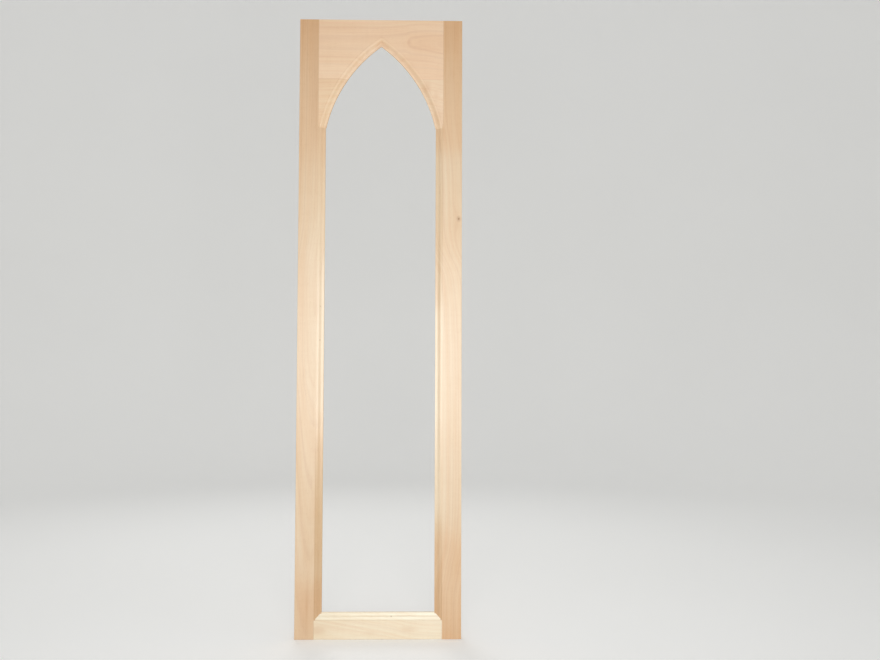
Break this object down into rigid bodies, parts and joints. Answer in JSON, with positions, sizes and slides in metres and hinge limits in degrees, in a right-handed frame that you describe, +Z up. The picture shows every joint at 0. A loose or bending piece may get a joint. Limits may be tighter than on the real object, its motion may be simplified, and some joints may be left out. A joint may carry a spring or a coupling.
{
  "type": "arched cabinet door frame",
  "caption": "Tall narrow wooden cabinet door frame with a pointed gothic arch at the head, a moulded inner edge and a rebate behind it for glass.",
  "frame": {"origin": "middle of the bottom edge, half way through the thickness", "axes": "+X to the right as seen from the front, -Y out of the moulded front face, +Z up"},
  "size_m": [0.35, 0.0206, 1.321],
  "materials": {
    "maple_left_stile": "sanded, unfinished",
    "maple_right_stile": "sanded, unfinished",
    "maple_bottom_rail": "sanded, unfinished",
    "maple_upper_stave": "sanded, unfinished",
    "maple_left_foot": "sanded, unfinished",
    "maple_right_foot": "sanded, unfinished"
  },
  "bodies": {
    "root": {"left_stile": "maple_left_stile", "right_stile": "maple_right_stile", "bottom_rail": "maple_bottom_rail", "arch_rail_upper_stave": "maple_upper_stave", "arch_rail_left_foot": "maple_left_foot", "arch_rail_right_foot": "maple_right_foot"}
  },
  "joints": []
}
